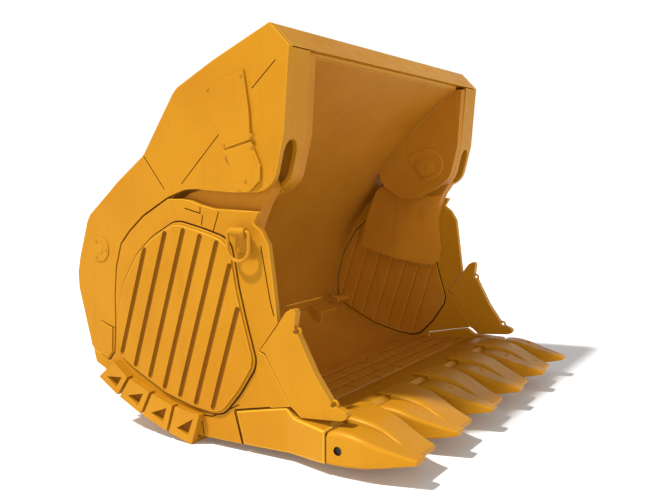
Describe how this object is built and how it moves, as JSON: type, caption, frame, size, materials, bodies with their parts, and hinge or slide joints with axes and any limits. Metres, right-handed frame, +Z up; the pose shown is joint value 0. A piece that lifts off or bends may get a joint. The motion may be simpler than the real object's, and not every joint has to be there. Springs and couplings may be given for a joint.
{
  "type": "face shovel bucket",
  "caption": "Face shovel bucket with a fixed back half and paired pivot ears, and a hinged clam front with pinned teeth that cylinders swing open to dump.",
  "frame": {"origin": "under the middle of the whole box, at the height of the heel", "axes": "+X across the bucket to its right side plate as seen from behind, -Y out of the mouth over the teeth, +Z up"},
  "size_m": [5.816, 4.93, 4.87],
  "materials": {
    "yellow_paint": "semi-gloss machine paint over welded plate",
    "cast_paint": "semi-gloss paint over rough castings",
    "inner_paint": "satin paint on the inner plates",
    "bare_steel": "ground and greased steel",
    "dark_steel": "dark forged steel"
  },
  "bodies": {
    "back": {"back_plate": "inner_paint", "rear_skin": "yellow_paint", "top_beam": "yellow_paint", "cover_bolts": "yellow_paint", "cylinder_pins": "bare_steel", "side_plate_left": "yellow_paint", "side_plate_right": "yellow_paint", "tower_inner_left": "inner_paint", "tower_inner_right": "inner_paint", "tower_front_left": "inner_paint", "tower_front_right": "inner_paint", "pivot_ears_left": "yellow_paint", "pivot_ears_right": "yellow_paint", "hinge_pin_left": "bare_steel", "hinge_pin_right": "bare_steel", "tower_covers_left": "yellow_paint", "tower_covers_right": "yellow_paint", "stop_block_left": "yellow_paint", "stop_block_right": "yellow_paint"},
    "clam": {"floor_plate": "inner_paint", "base_plate": "yellow_paint", "floor_ribs": "inner_paint", "rear_sill": "inner_paint", "rod_pins": "bare_steel", "lip_casting": "cast_paint", "tooth_pins": "dark_steel", "lip_shrouds": "cast_paint", "floor_wear_plates": "inner_paint", "corner_stops": "inner_paint", "tooth_1": "cast_paint", "tooth_2": "cast_paint", "tooth_3": "cast_paint", "tooth_4": "cast_paint", "tooth_5": "cast_paint", "tooth_6": "cast_paint", "clam_wall_left": "yellow_paint", "clam_wall_right": "yellow_paint", "hinge_arm_left": "inner_paint", "hinge_arm_right": "inner_paint", "arm_bush_left": "bare_steel", "arm_bush_right": "bare_steel", "side_panel_left": "yellow_paint", "side_panel_right": "yellow_paint", "heel_blocks_left": "cast_paint", "heel_blocks_right": "cast_paint", "side_rail_left": "yellow_paint", "side_rail_right": "yellow_paint", "wing_shroud_left": "cast_paint", "wing_shroud_right": "cast_paint", "lifting_lug_left": "yellow_paint", "lifting_lug_right": "yellow_paint"},
    "cylinder_barrel_left": {"cylinder_barrel_left": "yellow_paint"},
    "cylinder_rod_left": {"cylinder_rod_left": "bare_steel"},
    "lifting_ring_left": {"lifting_ring_left": "yellow_paint"},
    "cylinder_barrel_right": {"cylinder_barrel_right": "yellow_paint"},
    "cylinder_rod_right": {"cylinder_rod_right": "bare_steel"},
    "lifting_ring_right": {"lifting_ring_right": "yellow_paint"}
  },
  "joints": [
    {"name": "clam_hinge", "type": "hinge", "parent": "back", "child": "clam", "pos_m": [0, -0.265, 3.33], "axis": [-1, 0, 0], "range_deg": [0, 45]},
    {"name": "cylinder_swing_left", "type": "hinge", "parent": "back", "child": "cylinder_barrel_left", "pos_m": [-2.5375, 0.135, 4.03], "axis": [-1, 0, 0], "range_deg": [0, 8.2]},
    {"name": "cylinder_slide_left", "type": "slide", "parent": "cylinder_barrel_left", "child": "cylinder_rod_left", "axis": [0, 0.0712, -0.9975], "range_m": [0, 0.335]},
    {"name": "lifting_ring_swing_left", "type": "hinge", "parent": "clam", "child": "lifting_ring_left", "pos_m": [-2.86, -0.265, 2.59], "axis": [0, 1, 0], "range_deg": [0, 150]},
    {"name": "cylinder_swing_right", "type": "hinge", "parent": "back", "child": "cylinder_barrel_right", "pos_m": [2.5375, 0.135, 4.03], "axis": [-1, 0, 0], "range_deg": [0, 8.2]},
    {"name": "cylinder_slide_right", "type": "slide", "parent": "cylinder_barrel_right", "child": "cylinder_rod_right", "axis": [0, 0.0712, -0.9975], "range_m": [0, 0.335]},
    {"name": "lifting_ring_swing_right", "type": "hinge", "parent": "clam", "child": "lifting_ring_right", "pos_m": [2.86, -0.265, 2.59], "axis": [0, -1, 0], "range_deg": [0, 150]}
  ],
  "couplings": [
    {"joint": "cylinder_swing_left", "follows": "clam_hinge", "ratio": 0.17644},
    {"joint": "cylinder_slide_left", "follows": "clam_hinge", "m_per_rad": 0.41826},
    {"joint": "cylinder_swing_right", "follows": "clam_hinge", "ratio": 0.17644},
    {"joint": "cylinder_slide_right", "follows": "clam_hinge", "m_per_rad": 0.41826}
  ]
}
